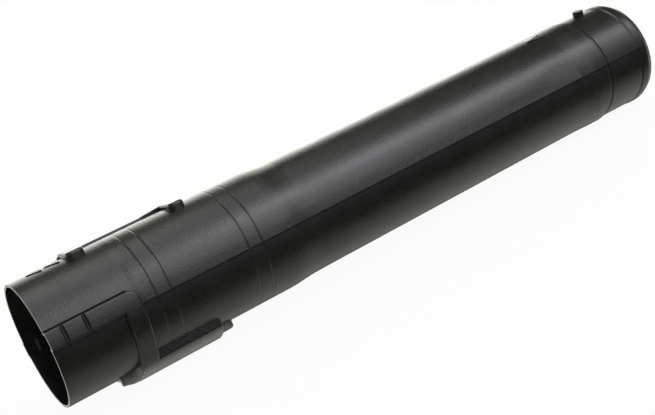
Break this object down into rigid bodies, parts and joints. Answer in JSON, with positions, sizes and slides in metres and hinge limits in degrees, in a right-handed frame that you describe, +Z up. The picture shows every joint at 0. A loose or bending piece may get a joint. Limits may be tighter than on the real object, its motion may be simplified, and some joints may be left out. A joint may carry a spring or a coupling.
{
  "type": "blower extension tube",
  "caption": "Straight black moulded tube with a socket, raised lock tracks and a grooved plug-in end, which lengthens the air path of a garden blower.",
  "frame": {"origin": "centre of the socket's mouth, on the tube's axis", "axes": "+X along the tube's axis from the socket's mouth to the plug-in end, +Z up across the mould's parting plane, -Y towards the side with the entry strip that the picture shows"},
  "size_m": [0.471, 0.0844, 0.0886],
  "materials": {
    "black_plastic": "satin, as moulded"
  },
  "bodies": {
    "root": {"blower_tube": "black_plastic"}
  },
  "joints": []
}
